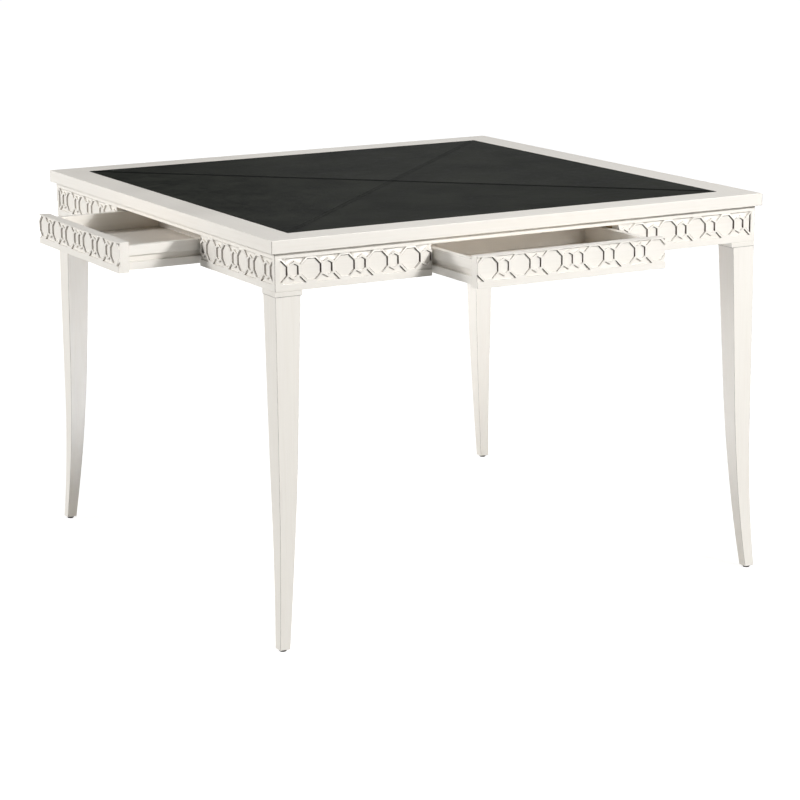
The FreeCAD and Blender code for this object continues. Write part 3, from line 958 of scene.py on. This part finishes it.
    def sew_row(
        self, shape: bmesh.types.BMesh, along: Vector, offset: Vector, first: float, last: float,
    ) -> None:
        """Adds one row of stitches to a mesh.

        Args:
            shape: The mesh that takes them.
            along: The row's direction.
            offset: How far the row lies from the line through the table's middle.
            first: Where the row starts along that line.
            last: Where it ends.
        """
        count = int((last - first) / (self.stitch_pitch_mm * MM))
        pitch = (last - first) / count
        across = Vector((-along.y, along.x, 0))
        radius = self.thread_mm / 2 * MM
        bed = self.level - self.groove_mm * MM
        for number in range(count):
            middle = first + (number + 0.5) * pitch
            previous = None
            for ring in range(self.stitch_rings):
                share = ring / (self.stitch_rings - 1)
                bow = math.sin(math.pi * share)
                centre = along * (middle + (share - 0.5) * self.stitch_length_mm * MM) + offset
                thick = radius * (self.stitch_end + (1 - self.stitch_end) * bow)
                centre.z = bed + radius * (self.stitch_bow * bow - self.stitch_bite)
                loop = []
                for corner in range(self.thread_sides):
                    angle = 2 * math.pi * corner / self.thread_sides
                    loop.append(shape.verts.new(
                        centre + across * (thick * math.cos(angle)) + Vector((0, 0, thick * math.sin(angle)))
                    ))
                if previous is None:
                    shape.faces.new(loop[::-1])
                else:
                    for corner in range(self.thread_sides):
                        follow = (corner + 1) % self.thread_sides
                        shape.faces.new([previous[corner], previous[follow], loop[follow], loop[corner]])
                previous = loop
            shape.faces.new(previous)


@dataclass
class FrettedApron:
    """Plain top rails and carved panels on both sides of each drawer."""

    finishes: Finishes
    easing: Easing = Easing(round_mm=0.45, glaze_mm=1.3)
    joint_slack_mm: float = 0.1
    rail_level: float = field(init=False)

    def build(self) -> None:
        """Softens the rails and the panels."""
        self.rail_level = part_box("top_rail_front")[0].z
        for side in Side:
            lacquer = self.finishes.lacquer[along_side(side)]
            for node in (f"top_rail_{side}", f"apron_{side}_right", f"apron_{side}_left"):
                # Painted shade in the carving is laid as if the light came from each side's right
                self.easing.dress(node, lacquer, self.glued, side.rightwards())

    def glued(self, edge: Edge) -> bool:
        """Says whether an edge lies on a mitre or on the joint between panel and rail."""
        slack = self.joint_slack_mm * MM
        return along_mitre(edge) or all(abs(vert.co.z - self.rail_level) < slack for vert in edge.verts)


@dataclass
class Drawers:
    """Four drawers with carved fronts, grooved sides, backs with a stop tab, and thin floors."""

    finishes: Finishes
    easing: Easing = Easing(round_mm=0.5, glaze_mm=0.8)

    def build(self) -> None:
        """Softens every board of each drawer."""
        for side in Side:
            along = self.finishes.lacquer[along_side(side)]
            across = self.finishes.lacquer[across_side(side)]
            for board in ("front", "back", "bottom"):
                # Painted shade in the carving is laid as if the light came from each side's right
                self.easing.dress(f"{side}_drawer_{board}", along, nothing, side.rightwards())
            for board in ("right_side", "left_side"):
                self.easing.dress(f"{side}_drawer_{board}", across, nothing)


@dataclass
class SabreLegs:
    """Four swept legs with square collars, each on a round glide."""

    finishes: Finishes
    corners: tuple[str, ...] = ("front_left", "front_right", "back_right", "back_left")
    easing: Easing = Easing(round_mm=0.5, sharp_degrees=55.0, upright_arris=0.65)
    collar_mm: float = 10.0
    quirk_mm: float = 0.9
    # How dark the crease under the collar is painted: painted shade
    collar_glaze: float = 1.0
    ledge_slope: float = 0.3
    collar_level: float = field(init=False)

    def build(self) -> None:
        """Softens the legs and finishes the glides."""
        self.collar_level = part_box("apron_front_left")[0].z - self.collar_mm * MM
        for corner in self.corners:
            leg = self.easing.dress(f"leg_{corner}", self.finishes.lacquer[Grain.UPRIGHT], self.beside_collar)
            self.line_collar(leg)
        wear(frame["nodes"]["foot_glides"], self.finishes.nylon)

    def beside_collar(self, edge: Edge) -> bool:
        """Says whether an edge lies in the quirk under the collar."""
        return all(abs(vert.co.z - self.collar_level) < self.quirk_mm * MM for vert in edge.verts)

    def line_collar(self, leg: Piece) -> None:
        """Paints a dark line in the quirk under a leg's collar: painted shade in the crease.

        Args:
            leg: The softened leg.
        """
        marks = leg.data.attributes["arris"].data
        for face in leg.data.polygons:
            near = abs(face.center.z - self.collar_level) < self.quirk_mm * MM
            # Painted shade: darkens the faces in the crease under the collar
            if near and abs(face.normal.z) > self.ledge_slope:
                marks[face.index].value = self.collar_glaze


@dataclass
class InnerFrame:
    """What hides behind the apron: runners, bearers, guides, corner blocks and fasteners."""

    finishes: Finishes
    easing: Easing = Easing(round_mm=0.7)

    def build(self) -> None:
        """Softens the wooden pieces and finishes the steel ones."""
        for side in Side:
            self.easing.dress(f"runners_{side}", self.finishes.maple[across_side(side)], nothing)
        for hand in ("left", "right"):
            self.easing.dress(f"bearer_{hand}", self.finishes.birch[Grain.FRONT_TO_BACK], nothing)
            self.easing.dress(f"guides_{hand}", self.finishes.birch[Grain.LEFT_TO_RIGHT], nothing)
        self.easing.dress("corner_blocks", self.finishes.birch[Grain.UPRIGHT], nothing)
        for node in ("hanger_bolts", "leg_nuts", "top_screws"):
            wear(frame["nodes"][node], self.finishes.zinc)


@dataclass(frozen=True)
class PaperSweep:
    """Paper on a roll, pressed matt: a plain pale ground, paler far out, without shine.

    Its glow shows in the picture and lights nothing, so the table's underside stays in shade. The fibres are
    drawn coarser than they are.
    """

    colour: str = "#A0A09E"
    glow: float = 0.84
    glow_start: float = 1.5
    glow_end: float = 6.0
    fibre_mm: float = 3.0
    fibre_relief_mm: float = 0.02
    roughness: float = 0.9
    specular: float = 0.1

    def material(self) -> bpy.types.Material:
        """Makes the finish of the studio floor.

        Returns:
            The material.
        """
        material, tree, shader, place = new_material("paper_sweep_matt")
        fibre = add_node(tree, "TexNoise", {}, {
            "Vector": place, "Scale": 1 / (self.fibre_mm * MM), "Detail": 3.0,
        })
        bump = add_node(tree, "Bump", {}, {
            "Distance": self.fibre_relief_mm * MM, "Height": fibre.outputs["Fac"],
        })
        away = add_node(tree, "VectorMath", {"operation": "LENGTH"}, {0: place})
        glow = add_node(tree, "MapRange", {"interpolation_type": "SMOOTHSTEP"}, {
            "Value": away.outputs["Value"], "From Min": self.glow_start, "From Max": self.glow_end,
            "To Min": self.glow, "To Max": 1.0,
        })
        path = add_node(tree, "LightPath", {}, {})
        seen = add_node(tree, "Math", {"operation": "MULTIPLY"}, {
            0: path.outputs["Is Camera Ray"], 1: glow.outputs["Result"],
        })
        tree.links.new(bump.outputs["Normal"], shader.inputs["Normal"])
        tree.links.new(seen.outputs["Value"], shader.inputs["Emission Strength"])
        shader.inputs["Base Color"].default_value = linear(self.colour)
        shader.inputs["Roughness"].default_value = self.roughness
        shader.inputs["Specular IOR Level"].default_value = self.specular
        shader.inputs["Emission Color"].default_value = WHITE
        return material


@dataclass(frozen=True)
class Softbox:
    """A wide, soft studio light that points at the table. Its bearing counts from the front, to the right."""

    name: str
    bearing_degrees: float
    height_degrees: float
    distance: float
    size: tuple[float, float]
    watts: float
    target: tuple[float, float, float] = (0.0, 0.0, 0.55)
    colour: str = "#FFFFFF"

    def build(self) -> None:
        """Places the light round its target."""
        bearing = math.radians(self.bearing_degrees)
        rise = math.radians(self.height_degrees)
        flat = math.cos(rise)
        towards = Vector((math.sin(bearing) * flat, -math.cos(bearing) * flat, math.sin(rise)))
        lamp = bpy.data.lights.new(self.name, "AREA")
        lamp.shape = "RECTANGLE"
        lamp.size, lamp.size_y = self.size
        lamp.energy = self.watts
        lamp.color = linear(self.colour)[:3]
        light = bpy.data.objects.new(self.name, lamp)
        light.location = Vector(self.target) + towards * self.distance
        light.rotation_euler = towards.to_track_quat("Z", "Y").to_euler()
        light.visible_camera = False
        bpy.context.scene.collection.objects.link(light)
        LOG.info("%s stands %.1f m away", self.name, self.distance)


@dataclass
class Studio:
    """A pale floor, soft lights and the camera of a plain product picture, with lengths in metres."""

    floor_side: float = 120.0
    floor_squares: int = 4
    sky: float = 0.04
    camera_place: tuple[float, float, float] = (-2.4625, -4.5130, 1.5026)
    yaw_degrees: float = 28.7535
    pitch_degrees: float = 13.12
    roll_degrees: float = -0.5432
    lens_mm: float = 114.43
    sensor_mm: float = 36.0
    sight: float = 200.0
    # Each light with its bearing and height in degrees, its distance and its size
    lights: tuple[Softbox, ...] = (
        Softbox("key_right", 27.0, 25.0, 6.0, (0.65, 0.65), watts=250.0, target=(-0.6, -0.2, 0.7)),
        Softbox("key_left", -118.0, 26.0, 9.0, (1.62, 1.62), watts=425.0),
        Softbox("fill_front", 25.0, 24.0, 6.0, (4.0, 0.9), watts=85.0),
        Softbox("fill_left", -115.0, 14.0, 10.0, (6.7, 3.7), watts=230.0),
        Softbox("fill_low", -105.0, 4.0, 10.0, (8.3, 2.0), watts=165.0),
        Softbox("fill_back", 140.0, 14.0, 2.4, (1.8, 0.9), watts=2.3, target=(0.0, 0.0, 0.76)),
        Softbox("low_back", 170.0, 0.0, 5.0, (4.0, 0.7), watts=75.0, target=(0.0, 0.0, 0.38)),
        Softbox("low_right", 95.0, 0.0, 5.0, (4.0, 0.7), watts=40.0, target=(0.0, 0.0, 0.38)),
        Softbox("overhead_front", 0.0, 90.0, 1.2, (0.6, 0.6), watts=2.0, target=(0.15, -0.58, 0.76)),
        Softbox("overhead_back", 0.0, 90.0, 1.2, (1.2, 0.6), watts=3.0, target=(0.0, 0.56, 0.76)),
        Softbox(
            "under_table", 0.0, -90.0, 0.53, (0.5, 0.5),
            watts=7.4, target=(-0.25, -0.16, 0.55), colour="#F2F7FF",
        ),
    )

    def build(self) -> None:
        """Builds floor, sky, lights and camera."""
        self.build_floor()
        self.build_sky()
        for light in self.lights:
            light.build()
        self.build_camera()
        bpy.context.scene.view_settings.view_transform = "Standard"

    def build_floor(self) -> None:
        """Lays a pale paper floor under the table."""
        shape = bmesh.new()
        bmesh.ops.create_grid(
            shape, x_segments=self.floor_squares, y_segments=self.floor_squares, size=self.floor_side / 2,
        )
        mesh = bpy.data.meshes.new("studio_floor")
        shape.to_mesh(mesh)
        shape.free()
        floor = bpy.data.objects.new("studio_floor", mesh)
        bpy.context.scene.collection.objects.link(floor)
        wear(floor, PaperSweep().material())

    def build_sky(self) -> None:
        """Lights the studio evenly from all round, with a white backdrop behind the floor's edge."""
        world = bpy.data.worlds.new("studio_sky")
        world.use_nodes = True
        tree = world.node_tree
        backdrop = tree.nodes["Background"]
        path = add_node(tree, "LightPath", {}, {})
        seen = add_node(tree, "MapRange", {}, {
            "Value": path.outputs["Is Camera Ray"], "To Min": self.sky, "To Max": 1.0,
        })
        tree.links.new(seen.outputs["Result"], backdrop.inputs["Strength"])
        backdrop.inputs["Color"].default_value = WHITE
        bpy.context.scene.world = world

    def build_camera(self) -> None:
        """Places the camera where the photograph was taken from."""
        yaw = math.radians(self.yaw_degrees)
        pitch = math.radians(self.pitch_degrees)
        roll = math.radians(self.roll_degrees)
        ahead = Vector((math.sin(yaw) * math.cos(pitch), math.cos(yaw) * math.cos(pitch), -math.sin(pitch)))
        level = Vector((math.cos(yaw), -math.sin(yaw), 0))
        upright = level.cross(ahead)
        right = level * math.cos(roll) + upright * math.sin(roll)
        top = upright * math.cos(roll) - level * math.sin(roll)
        data = bpy.data.cameras.new("photo_camera")
        data.lens = self.lens_mm
        data.sensor_width = self.sensor_mm
        data.clip_end = self.sight
        camera = bpy.data.objects.new("photo_camera", data)
        turn = Matrix((right, top, -ahead)).transposed().to_4x4()
        camera.matrix_world = Matrix.Translation(Vector(self.camera_place)) @ turn
        bpy.context.scene.collection.objects.link(camera)
        bpy.context.scene.camera = camera


def main() -> None:
    """Dresses the table piece by piece and sets it in the studio."""
    logging.basicConfig(level=logging.INFO, format="%(message)s")
    finishes = Finishes()
    for assembly in (FramedTop, FrettedApron, Drawers, SabreLegs, InnerFrame):
        assembly(finishes).build()
    Studio().build()


if __name__ == "__main__":
    main()
